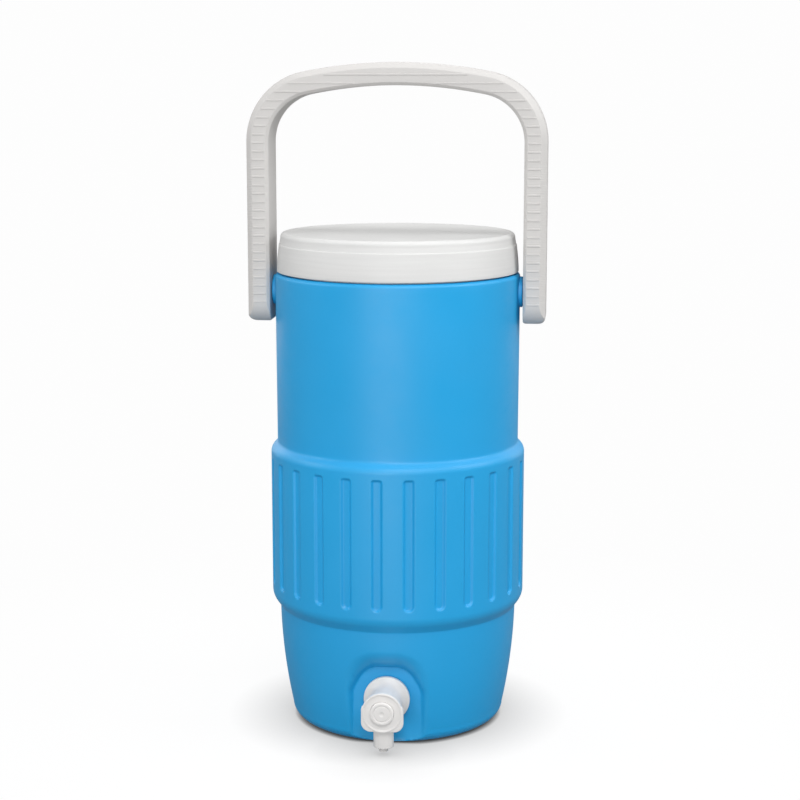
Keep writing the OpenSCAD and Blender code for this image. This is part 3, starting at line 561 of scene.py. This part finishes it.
def face_span(z):
    """Stretches in x of the handle's flat front face at a height, on the right-hand half."""
    inner_b, outer_b = BEVEL_IN + 0.35, BEVEL_OUT + 0.35
    if z <= SH_Z:
        return [(LEG_X + inner_b, LEG_X + BAIL_T - outer_b)]
    # beyond the shoulder's start the face lies between two pairs of arcs
    xs = np.linspace(0, 127, 1271)
    arch_d, sh_d = np.hypot(xs, z - ARCH_Z), np.hypot(xs - SH_X, z - SH_Z)
    in_arch = (arch_d > ARCH_R - BAIL_T + inner_b) & (arch_d < ARCH_R - outer_b)
    in_shoulder = (sh_d > SH_R - BAIL_T + inner_b) & (sh_d < SH_R - outer_b)
    ok = np.where(np.degrees(np.arctan2(z - ARCH_Z, xs)) > SH_ANGLE, in_arch, in_shoulder)
    spans, start = [], None
    for x, o in zip(xs, ok):
        if o and start is None:
            start = x
        if not o and start is not None:
            spans.append((start, prev))
            start = None
        prev = x
    if start is not None:
        spans.append((start, xs[-1]))
    return [(a, b) for a, b in spans if b - a > 1.5]


def build_handle():
    """The bail as one swept body, and its raised cross ribs."""
    st = leg_path()
    rings = []
    for s in st:
        o, d, ring = station(s)
        rings.append([o + d * t + np.array([0, y, 0]) for t, y in ring])
    mirror = [[np.array([-p[0], p[1], p[2]]) for p in r] for r in rings[:-1]][::-1]
    allr = rings + mirror
    n, m = len(allr), len(allr[0])
    pts = [p for r in allr for p in r]
    faces = grid_faces(n, m, False, True)
    faces += [tuple(range(m))[::-1], tuple((n - 1) * m + k for k in range(m))]
    body = (pts, faces)
    # raised cross ribs on the front and back faces, always level
    ribs = []
    z = RIB_FROM_Z
    while z < ARCH_Z + ARCH_R - 4:
        for a, b in face_span(z):
            pieces = [(a, b), (-b, -a)]
            if a < 0.2:
                pieces = [(-b, b)]
            for x0, x1 in pieces:
                for ys in (-1, 1):
                    ribs.append(rib(x0, x1, z, ys))
        z += RIB_PITCH
    return body, ribs


def rib(x0, x1, z, ys):
    """A slim raised strip with slanted sides and ends."""
    w = BAIL_W / 2
    base, face = w - FACE_BACK - 0.5, w - 0.02
    # half heights of the rib at its foot and at its top
    hb, ht = 1.0, 0.5
    pts = []
    xs = [(x0 - 0.3, base), (x0, face - 0.02), (x0 + 0.35, face)]
    xs += [(x1 - 0.35, face), (x1, face - 0.02), (x1 + 0.3, base)]
    for x, y in xs:
        t = ht if y > base + 0.01 else hb
        pts += [(x, ys * base, z - hb), (x, ys * y, z - t), (x, ys * y, z + t), (x, ys * base, z + hb)]
    f = grid_faces(len(xs), 4, False, True)
    f += [(3, 2, 1, 0), tuple(4 * (len(xs) - 1) + q for q in range(4))]
    if ys > 0:
        f = [q[::-1] for q in f]
    return pts, f


h_body, h_ribs = build_handle()
handle = tool("handle_bail_moulded", h_body)
pin_bores = [
    tool("t_leg", rod("x", (0, 0, PIVOT_Z), PIN_R + 0.02, s * 107, s * 120)) for s in (-1, 1)
]
cut(handle, pin_bores, "DIFFERENCE")
smooth_again(handle, 34)
ribs = tool("handle_ribs", merge(h_ribs))
smooth_again(ribs, 50)
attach(handle, "handle")
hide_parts("handle_bail")
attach(ribs, "handle")

# ---------------------------------------------------------------- tap


def plate_outline():
    """Outline of the finger plate, (x, height above the axis): round above, with two wings."""
    # disc radius, half width over the wings, wing's upper and lower corner, drop of the lower edge
    R, H, U, C, L = 17.0, 17.6, 5.5, 8, 16.5
    pts = [(R * math.cos(a), R * math.sin(a)) for a in np.radians(np.linspace(90, 22.6, 26))]
    # shoulder into the wing, its side and its rounded lower corner
    for a in np.radians(np.linspace(47, 0, 9)):
        pts.append((H - U + U * math.cos(a), 2.0 + U * math.sin(a)))
    pts.append((H, -2.0))
    for a in np.radians(np.linspace(0, -90, 14)):
        pts.append((H - C + C * math.cos(a), -L + C + C * math.sin(a)))
    left = [(-x, y) for x, y in pts[1:]][::-1]
    return pts + [(0.0, -L)] + left


def offset(outline, d):
    """The outline drawn in by d along its normals."""
    p = np.array(outline)
    a, b = np.roll(p, 1, 0), np.roll(p, -1, 0)
    t = b - a
    t /= np.linalg.norm(t, axis=1)[:, None]
    nrm = np.stack([t[:, 1], -t[:, 0]], axis=1)
    area = 0.5 * np.sum(p[:, 0] * np.roll(p[:, 1], -1) - np.roll(p[:, 0], -1) * p[:, 1])
    s = 1 if area > 0 else -1
    return p - s * nrm * d


def build_plate():
    """The finger plate with rounded edges."""
    out = plate_outline()
    # its back and its face, as distances from the jug's axis
    y0, y1 = 123.0, 127.0
    levels = [(0.9, y0), (0.35, y0 + 0.15), (0.08, y0 + 0.5), (0.0, y0 + 1.0), (0.0, y1 - 0.9)]
    levels += [(0.08, y1 - 0.5), (0.3, y1 - 0.18), (0.75, y1 - 0.02), (1.3, y1)]
    rings = []
    for d, y in levels:
        q = offset(out, d)
        rings.append([(x, -y, TAP_Z + h) for x, h in q])
    n, m = len(rings), len(rings[0])
    pts = [p for r in rings for p in r]
    faces = grid_faces(n, m, False, True)
    faces += [tuple(range(m)), tuple((n - 1) * m + k for k in reversed(range(m)))]
    return pts, faces


at_tap, at_spout = (0, 0, TAP_Z), (0, SPOUT_Y, 0)
# shank, flange and barrel as (r, distance from the jug's axis)
core = [(0.0, 64.0), (9.1, 64.0), (9.5, 64.4), (9.5, 88.7), (17.5, 88.5)]
core += arc(18.7, 89.3, 0.8, -90, 0, 4) + arc(18.7, 91.6, 0.8, 0, 80, 5)
core += [(18.3, 92.5), (17.6, 93.0), (16.6, 93.7), (15.5, 94.5)]
core += [(14.5, 95.5), (13.7, 96.6), (13.1, 98.0), (12.8, 99.2), (12.65, 100.2), (12.6, 101.4)]
core += [(12.6, 121.6), (12.8, 122.4), (13.4, 122.9), (14.0, 123.2), (0.0, 124.5)]
tap = spin("tap_moulded", core, 128, "-y", at_tap)
plate = tool("t_plate", build_plate())
fix_normals(plate)
sp = [(0.0, 8.0), (7.9, 8.0), (8.25, 8.1), (8.42, 8.35), (8.5, 8.8), (8.5, 22.9), (8.75, 23.1)]
sp += [(9.05, 23.5), (9.1, 24.0), (9.1, 30.5), (0.0, 30.6)]
spout = spin("t_spout", sp, 96, "z", at_spout)
# low collar ring on the plate's face round the button
ring = [(16.9, 124.0), (16.9, 127.0), (16.8, 127.4), (16.4, 127.7), (15.9, 127.75)]
ring += [(15.4, 127.6), (15.0, 127.3), (14.6, 127.15), (14.6, 124.0)]
collar = tool("t_collar", lathe(ring, 128, "-y", at_tap))
fix_normals(collar)
cut(tap, [plate, spout, collar], "UNION")
bore = tool("t_bore2", rod("-y", at_tap, 10.02, 115, 130))
mo = [(0, 6.5), (6.3, 6.5), (6.1, 8.0), (NOZZLE_R, 8.6), (NOZZLE_R, 28.05), (0, 28.05)]
mouth = spin("t_mouth", mo, 96, "z", at_spout)
guide = tool("t_guide", rod("-y", at_tap, 2.56, 110, 118))
cham = tool("t_cham", rod("-y", at_tap, 7.5, 100, 111.5))
inlet = tool("t_inlet", rod("-y", at_tap, INLET_R, 60, 97))
seat = tool("t_seat", rod("-y", at_tap, 4.5, 95, 102))
# the slanted passage leans back by this angle from a place in the spout
lean, passage_z = math.radians(29.4), 24.05
sl, cl = math.sin(lean), math.cos(lean)
ppts, pfaces = rod("z", (0, 0, 0), 4.0, 0, 18.8, 64)
ppts = [(x, SPOUT_Y + y * cl + z * sl, passage_z - y * sl + z * cl) for x, y, z in ppts]
passage = tool("t_pass", (ppts, pfaces))
cut(tap, [bore, mouth, guide, cham, inlet, seat, passage], "DIFFERENCE")
smooth_again(tap, 32)
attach(tap, "jug")
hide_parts("tap_body")

# button: skirt, rim, ring groove and dimple in its face, then the inside with the stem's socket
b = [(8.05, 120.1), (8.25, 120.0), (9.5, 120.0), (9.85, 120.3), (9.85, 129.1)]
b += arc(9.15, 129.15, 0.7, 0, 70, 5)
b += [(9.0, 129.98), (8.1, 130.0), (7.55, 129.95), (7.3, 129.72), (7.0, 129.45), (6.6, 129.42)]
b += [(6.3, 129.62), (6.05, 129.8), (5.4, 129.85), (2.6, 129.9), (1.9, 129.85), (1.45, 129.55)]
b += [(0.9, 129.4), (0.0, 129.38), (0.0, 127.45), (2.5, 127.45), (2.55, 124.6), (3.9, 124.5)]
b += [(4.0, 124.7), (4.0, 127.4), (8.0, 127.4)]
button = make("tap_button_moulded", *lathe(b, 128, "-y", at_tap))
fix_normals(button)
smooth_again(button, 30)
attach(button, "button")
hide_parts("tap_button")

# ---------------------------------------------------------------- materials


def srgb(r, g, b):
    """Linear colour from 0 to 255 display values."""
    def lin(c):
        c /= 255
        return c / 12.92 if c <= 0.04045 else ((c + 0.055) / 1.055) ** 2.4
    return (lin(r), lin(g), lin(b))


def moulded(name, rgb, rough=0.42, grain=0.00002, grain_scale=1500, vary=0.05, spec=0.5,
            rough_vary=0.08, sag=0.00006, wear_z=None, sss=0.0, streak=0.0, metal=0.0, coat=0.0):
    """Moulded plastic: cloudy colour, fine grain, uneven gloss, faint scuffs and slight sink marks."""
    mat = bpy.data.materials.new(name)
    mat.use_nodes = True
    mat.diffuse_color = (*rgb, 1)
    nt = mat.node_tree
    nt.nodes.clear()
    N, L = nt.nodes.new, nt.links.new
    out = N("ShaderNodeOutputMaterial")
    bsdf = N("ShaderNodeBsdfPrincipled")
    L(bsdf.outputs[0], out.inputs[0])
    bsdf.inputs["Specular IOR Level"].default_value = spec
    bsdf.inputs["Metallic"].default_value = metal
    bsdf.inputs["Coat Weight"].default_value = coat
    bsdf.inputs["Coat Roughness"].default_value = 0.25
    if sss:
        bsdf.inputs["Subsurface Weight"].default_value = sss
        bsdf.inputs["Subsurface Radius"].default_value = (1.0, 1.0, 1.0)
        bsdf.inputs["Subsurface Scale"].default_value = 0.002
    co = N("ShaderNodeTexCoord")

    def noise(scale, detail=3.0, roughness=0.5, vector=None):
        t = N("ShaderNodeTexNoise")
        t.inputs["Scale"].default_value = scale
        t.inputs["Detail"].default_value = detail
        t.inputs["Roughness"].default_value = roughness
        L(vector or co.outputs["Object"], t.inputs["Vector"])
        return t.outputs["Fac"]

    def mathn(op, a, b=None, clamp=False):
        m = N("ShaderNodeMath")
        m.operation = op
        m.use_clamp = clamp
        for i, v in enumerate((a, b)):
            if v is None:
                continue
            if isinstance(v, (int, float)):
                m.inputs[i].default_value = v
            else:
                L(v, m.inputs[i])
        return m.outputs[0]

    def remap(v, a0, a1, b0, b1):
        m = N("ShaderNodeMapRange")
        for k, x in zip(("From Min", "From Max", "To Min", "To Max"), (a0, a1, b0, b1)):
            m.inputs[k].default_value = x
        L(v, m.inputs["Value"])
        return m.outputs["Result"]

    cloud = remap(noise(9.0, 3.0), 0.3, 0.7, 1 - vary, 1 + vary)
    speck = remap(noise(650.0, 2.0), 0.3, 0.7, 1 - vary * 0.35, 1 + vary * 0.35)
    value = mathn("MULTIPLY", cloud, speck)
    if streak:
        mp = N("ShaderNodeMapping")
        mp.inputs["Scale"].default_value = (0.35, 0.35, 9.0)
        L(co.outputs["Object"], mp.inputs["Vector"])
        lines = remap(noise(34.0, 4.0, 0.6, mp.outputs["Vector"]), 0.35, 0.65, 1 - streak, 1 + streak)
        value = mathn("MULTIPLY", value, lines)
    mix = N("ShaderNodeMix")
    mix.data_type = "RGBA"
    mix.blend_type = "MULTIPLY"
    mix.inputs[0].default_value = 1.0
    mix.inputs[6].default_value = (*rgb, 1)
    comb = N("ShaderNodeCombineColor")
    for k in range(3):
        L(value, comb.inputs[k])
    L(comb.outputs[0], mix.inputs[7])
    colour = mix.outputs[2]
    rough_now = remap(noise(26.0, 5.0, 0.65), 0.3, 0.7, rough - rough_vary, rough + rough_vary)
    # sparse fine scratches
    mp2 = N("ShaderNodeMapping")
    mp2.inputs["Rotation"].default_value = (0.5, 0.3, 0.9)
    mp2.inputs["Scale"].default_value = (1.0, 0.05, 1.0)
    L(co.outputs["Object"], mp2.inputs["Vector"])
    hair = remap(noise(420.0, 2.0, 0.5, mp2.outputs["Vector"]), 0.66, 0.74, 0.0, 1.0)
    rough_now = mathn("ADD", rough_now, mathn("MULTIPLY", hair, 0.10), clamp=True)
    if wear_z is not None:
        sep = N("ShaderNodeSeparateXYZ")
        L(co.outputs["Object"], sep.inputs[0])
        low = remap(sep.outputs["Z"], wear_z, wear_z * 2.4, 1.0, 0.0)
        patch = remap(noise(160.0, 4.0, 0.7), 0.45, 0.6, 0.0, 1.0)
        scuff = mathn("MULTIPLY", low, patch, clamp=True)
        m2 = N("ShaderNodeMix")
        m2.data_type = "RGBA"
        L(mathn("MULTIPLY", scuff, 0.35), m2.inputs[0])
        L(colour, m2.inputs[6])
        worn = [c * 0.6 + grey for c, grey in zip(rgb, (0.25, 0.27, 0.28))]
        m2.inputs[7].default_value = (*worn, 1)
        colour = m2.outputs[2]
        rough_now = mathn("ADD", rough_now, mathn("MULTIPLY", scuff, 0.25), clamp=True)
    L(colour, bsdf.inputs["Base Color"])
    L(rough_now, bsdf.inputs["Roughness"])
    h = mathn("MULTIPLY", noise(grain_scale, 2.0, 0.6), grain)
    h = mathn("ADD", h, mathn("MULTIPLY", noise(14.0, 2.0), sag * 4))
    h = mathn("SUBTRACT", h, mathn("MULTIPLY", hair, grain * 0.5))
    bump = N("ShaderNodeBump")
    bump.inputs["Strength"].default_value = 0.6
    bump.inputs["Distance"].default_value = 1.0
    L(h, bump.inputs["Height"])
    L(bump.outputs[0], bsdf.inputs["Normal"])
    return mat


blue = moulded("m_shell_blue", srgb(6, 162, 224), rough=0.5, grain=0.000022, grain_scale=1300,
               vary=0.025, wear_z=0.0022, sag=0.00004, spec=0.75)
lid_mat = moulded("m_lid_grey", srgb(219, 219, 218), rough=0.48, vary=0.012, streak=0.022,
                  sag=0.00002, spec=0.4)
handle_mat = moulded("m_handle_grey", srgb(205, 203, 201), rough=0.5, vary=0.015, grain_scale=1100,
                     sag=0.00002, spec=0.4)
tap_mat = moulded("m_tap_white", srgb(233, 231, 229), rough=0.34, vary=0.012, sag=0.00001,
                  grain=0.00001, sss=0.12, spec=0.5)
liner_mat = moulded("m_liner_white", srgb(236, 236, 232), rough=0.33, vary=0.015, sag=0.00002,
                    grain=0.00001, spec=0.5)
foam_mat = moulded("m_foam", srgb(236, 222, 170), rough=0.9, vary=0.08, grain=0.00035,
                   grain_scale=520, spec=0.2, rough_vary=0.05)
seal_mat = moulded("m_seal", srgb(74, 75, 78), rough=0.62, vary=0.05, grain=0.00003,
                   grain_scale=900, spec=0.4)
steel_mat = moulded("m_steel", srgb(196, 198, 202), rough=0.24, vary=0.03, metal=1.0,
                    grain=0.000008, rough_vary=0.06)

detailed = [(shell, blue), (lid, lid_mat), (handle, handle_mat), (ribs, handle_mat), (tap, tap_mat)]
for ob, mat in detailed + [(button, tap_mat)]:
    ob.data.materials.clear()
    ob.data.materials.append(mat)

kept_nodes = {
    "foam_fill_plug": blue,
    "insulation_foam": foam_mat,
    "inner_liner": liner_mat,
    "lid_pan": liner_mat,
    "lid_foam": foam_mat,
    "lid_gasket": seal_mat,
    "handle_pin_left": handle_mat,
    "handle_pin_right": handle_mat,
    "tap_nozzle": tap_mat,
    "tap_outer_washer": seal_mat,
    "tap_inner_washer": seal_mat,
    "tap_nut": tap_mat,
    "tap_stem": tap_mat,
    "tap_stem_seal": seal_mat,
    "tap_valve_seal": seal_mat,
    "tap_spring": steel_mat,
}
for node, mat in kept_nodes.items():
    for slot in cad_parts[node].material_slots:
        slot.material = mat

# ---------------------------------------------------------------- floor, light and camera


FLOOR_SHADE, FLOOR_GLOW, FLOOR_BOUNCE, BACKDROP, WORLD_LIGHT = 0.08, 0.915, 0.3, 0.985, 0.36
# reach of the soft and of the contact shadow, and where the floor fades to the backdrop, in metres
SOFT_REACH, CONTACT_REACH, FADE_FROM, FADE_TO = 0.06, 0.005, 0.2, 0.6
SOFT_DARKEST, CONTACT_DARKEST, AO_SAMPLES = 0.37, 0.1, 12
FLOOR_HALF, FLOOR_POINTS = 3, 13


def floor():
    """A pale floor: the camera sees soft shadows over an even glow, other rays a plain surface."""
    side = np.linspace(-FLOOR_HALF, FLOOR_HALF, FLOOR_POINTS)
    verts = [(x / MM, y / MM, 0.0) for y in side for x in side]
    ob = make("floor", verts, grid_faces(FLOOR_POINTS, FLOOR_POINTS, False, False))
    fix_normals(ob)
    mat = bpy.data.materials.new("m_floor")
    mat.use_nodes = True
    nt = mat.node_tree
    nt.nodes.clear()
    N, L = nt.nodes.new, nt.links.new
    out = N("ShaderNodeOutputMaterial")
    # what the camera sees: a little real shadow over an even glow with a tight contact shadow
    seen, add = N("ShaderNodeMixShader"), N("ShaderNodeAddShader")
    dim, glow = N("ShaderNodeBsdfDiffuse"), N("ShaderNodeEmission")
    dim.inputs[0].default_value = (FLOOR_SHADE,) * 3 + (1,)
    near = N("ShaderNodeAmbientOcclusion")
    near.samples = AO_SAMPLES
    near.inputs["Distance"].default_value = SOFT_REACH
    tight = N("ShaderNodeAmbientOcclusion")
    tight.samples = AO_SAMPLES
    tight.inputs["Distance"].default_value = CONTACT_REACH
    soft, edge, depth = N("ShaderNodeMapRange"), N("ShaderNodeMapRange"), N("ShaderNodeMath")
    soft.inputs["To Min"].default_value = SOFT_DARKEST * FLOOR_GLOW
    soft.inputs["To Max"].default_value = FLOOR_GLOW
    edge.inputs["To Min"].default_value, edge.inputs["To Max"].default_value = CONTACT_DARKEST, 1.0
    edge.inputs["From Min"].default_value, edge.inputs["From Max"].default_value = 0.1, 0.9
    depth.operation = "MULTIPLY"
    L(near.outputs["AO"], soft.inputs["Value"])
    L(tight.outputs["AO"], edge.inputs["Value"])
    L(soft.outputs[0], depth.inputs[0])
    L(edge.outputs[0], depth.inputs[1])
    L(depth.outputs[0], glow.inputs[1])
    L(dim.outputs[0], add.inputs[0])
    L(glow.outputs[0], add.inputs[1])
    far = N("ShaderNodeEmission")
    far.inputs[1].default_value = BACKDROP
    co = N("ShaderNodeTexCoord")
    dist = N("ShaderNodeVectorMath")
    dist.operation = "LENGTH"
    L(co.outputs["Object"], dist.inputs[0])
    mr = N("ShaderNodeMapRange")
    mr.inputs["From Min"].default_value, mr.inputs["From Max"].default_value = FADE_FROM, FADE_TO
    L(dist.outputs["Value"], mr.inputs["Value"])
    L(mr.outputs[0], seen.inputs[0])
    L(add.outputs[0], seen.inputs[1])
    L(far.outputs[0], seen.inputs[2])
    # what lights the object from below is a plain pale floor
    bounce = N("ShaderNodeBsdfDiffuse")
    bounce.inputs[0].default_value = (FLOOR_BOUNCE,) * 3 + (1,)
    path = N("ShaderNodeLightPath")
    both = N("ShaderNodeMixShader")
    L(path.outputs["Is Camera Ray"], both.inputs[0])
    L(bounce.outputs[0], both.inputs[1])
    L(seen.outputs[0], both.inputs[2])
    L(both.outputs[0], out.inputs[0])
    ob.data.materials.append(mat)


floor()

world = bpy.data.worlds.new("studio")
bpy.context.scene.world = world
world.use_nodes = True
nt = world.node_tree
nt.nodes.clear()
w_out = nt.nodes.new("ShaderNodeOutputWorld")
w_mix = nt.nodes.new("ShaderNodeMixShader")
w_seen, w_light = nt.nodes.new("ShaderNodeBackground"), nt.nodes.new("ShaderNodeBackground")
w_seen.inputs[0].default_value, w_seen.inputs[1].default_value = (1, 1, 1, 1), BACKDROP
w_light.inputs[0].default_value, w_light.inputs[1].default_value = (1, 1, 1, 1), WORLD_LIGHT
lp = nt.nodes.new("ShaderNodeLightPath")
nt.links.new(lp.outputs["Is Camera Ray"], w_mix.inputs[0])
nt.links.new(w_light.outputs[0], w_mix.inputs[1])
nt.links.new(w_seen.outputs[0], w_mix.inputs[2])
nt.links.new(w_mix.outputs[0], w_out.inputs[0])


def area(name, loc, target, size, power, size_y=None):
    """An area light aimed at a point."""
    li = bpy.data.lights.new(name, "AREA")
    li.energy = power
    li.shape = "RECTANGLE"
    li.size = size
    li.size_y = size_y or size
    ob = bpy.data.objects.new(name, li)
    ob.location = loc
    ob.rotation_mode = "QUATERNION"
    ob.rotation_quaternion = (Vector(target) - Vector(loc)).to_track_quat("-Z", "Y")
    bpy.context.scene.collection.objects.link(ob)


area("key_front_top", (0.4, -1.75, 1.75), (0, 0, 0.3), 0.9, 21)
area("high_right", (1.5, -0.2, 1.35), (0, 0, 0.45), 0.8, 12)
area("high_left", (-1.5, -0.2, 1.1), (0, 0, 0.3), 0.8, 6)
area("overhead", (0.0, 0.15, 1.9), (0, 0, 0.3), 1.2, 7)
area("fill_front", (-0.2, -2.3, 0.3), (0, 0, 0.2), 1.0, 18, 1.0)
area("rim_left", (-1.1, 1.3, 0.7), (0, 0, 0.3), 0.6, 6, 1.2)
area("rim_right", (1.1, 1.3, 0.7), (0, 0, 0.3), 0.6, 4, 1.2)

# angle down and to the side, in degrees
CAMERA_DOWN, CAMERA_TURN = 9.91, 5.9
cam_data = bpy.data.cameras.new("camera")
cam_data.lens = 82.7
cam_data.sensor_width = 36
cam_data.shift_x = 0.0028
cam = bpy.data.objects.new("camera", cam_data)
cam.location = (0.1617, -1.5651, 0.5554)
cam.rotation_euler = (math.radians(90 - CAMERA_DOWN), 0, math.radians(CAMERA_TURN))
bpy.context.scene.collection.objects.link(cam)
bpy.context.scene.camera = cam

bpy.context.scene.view_settings.view_transform = "Standard"
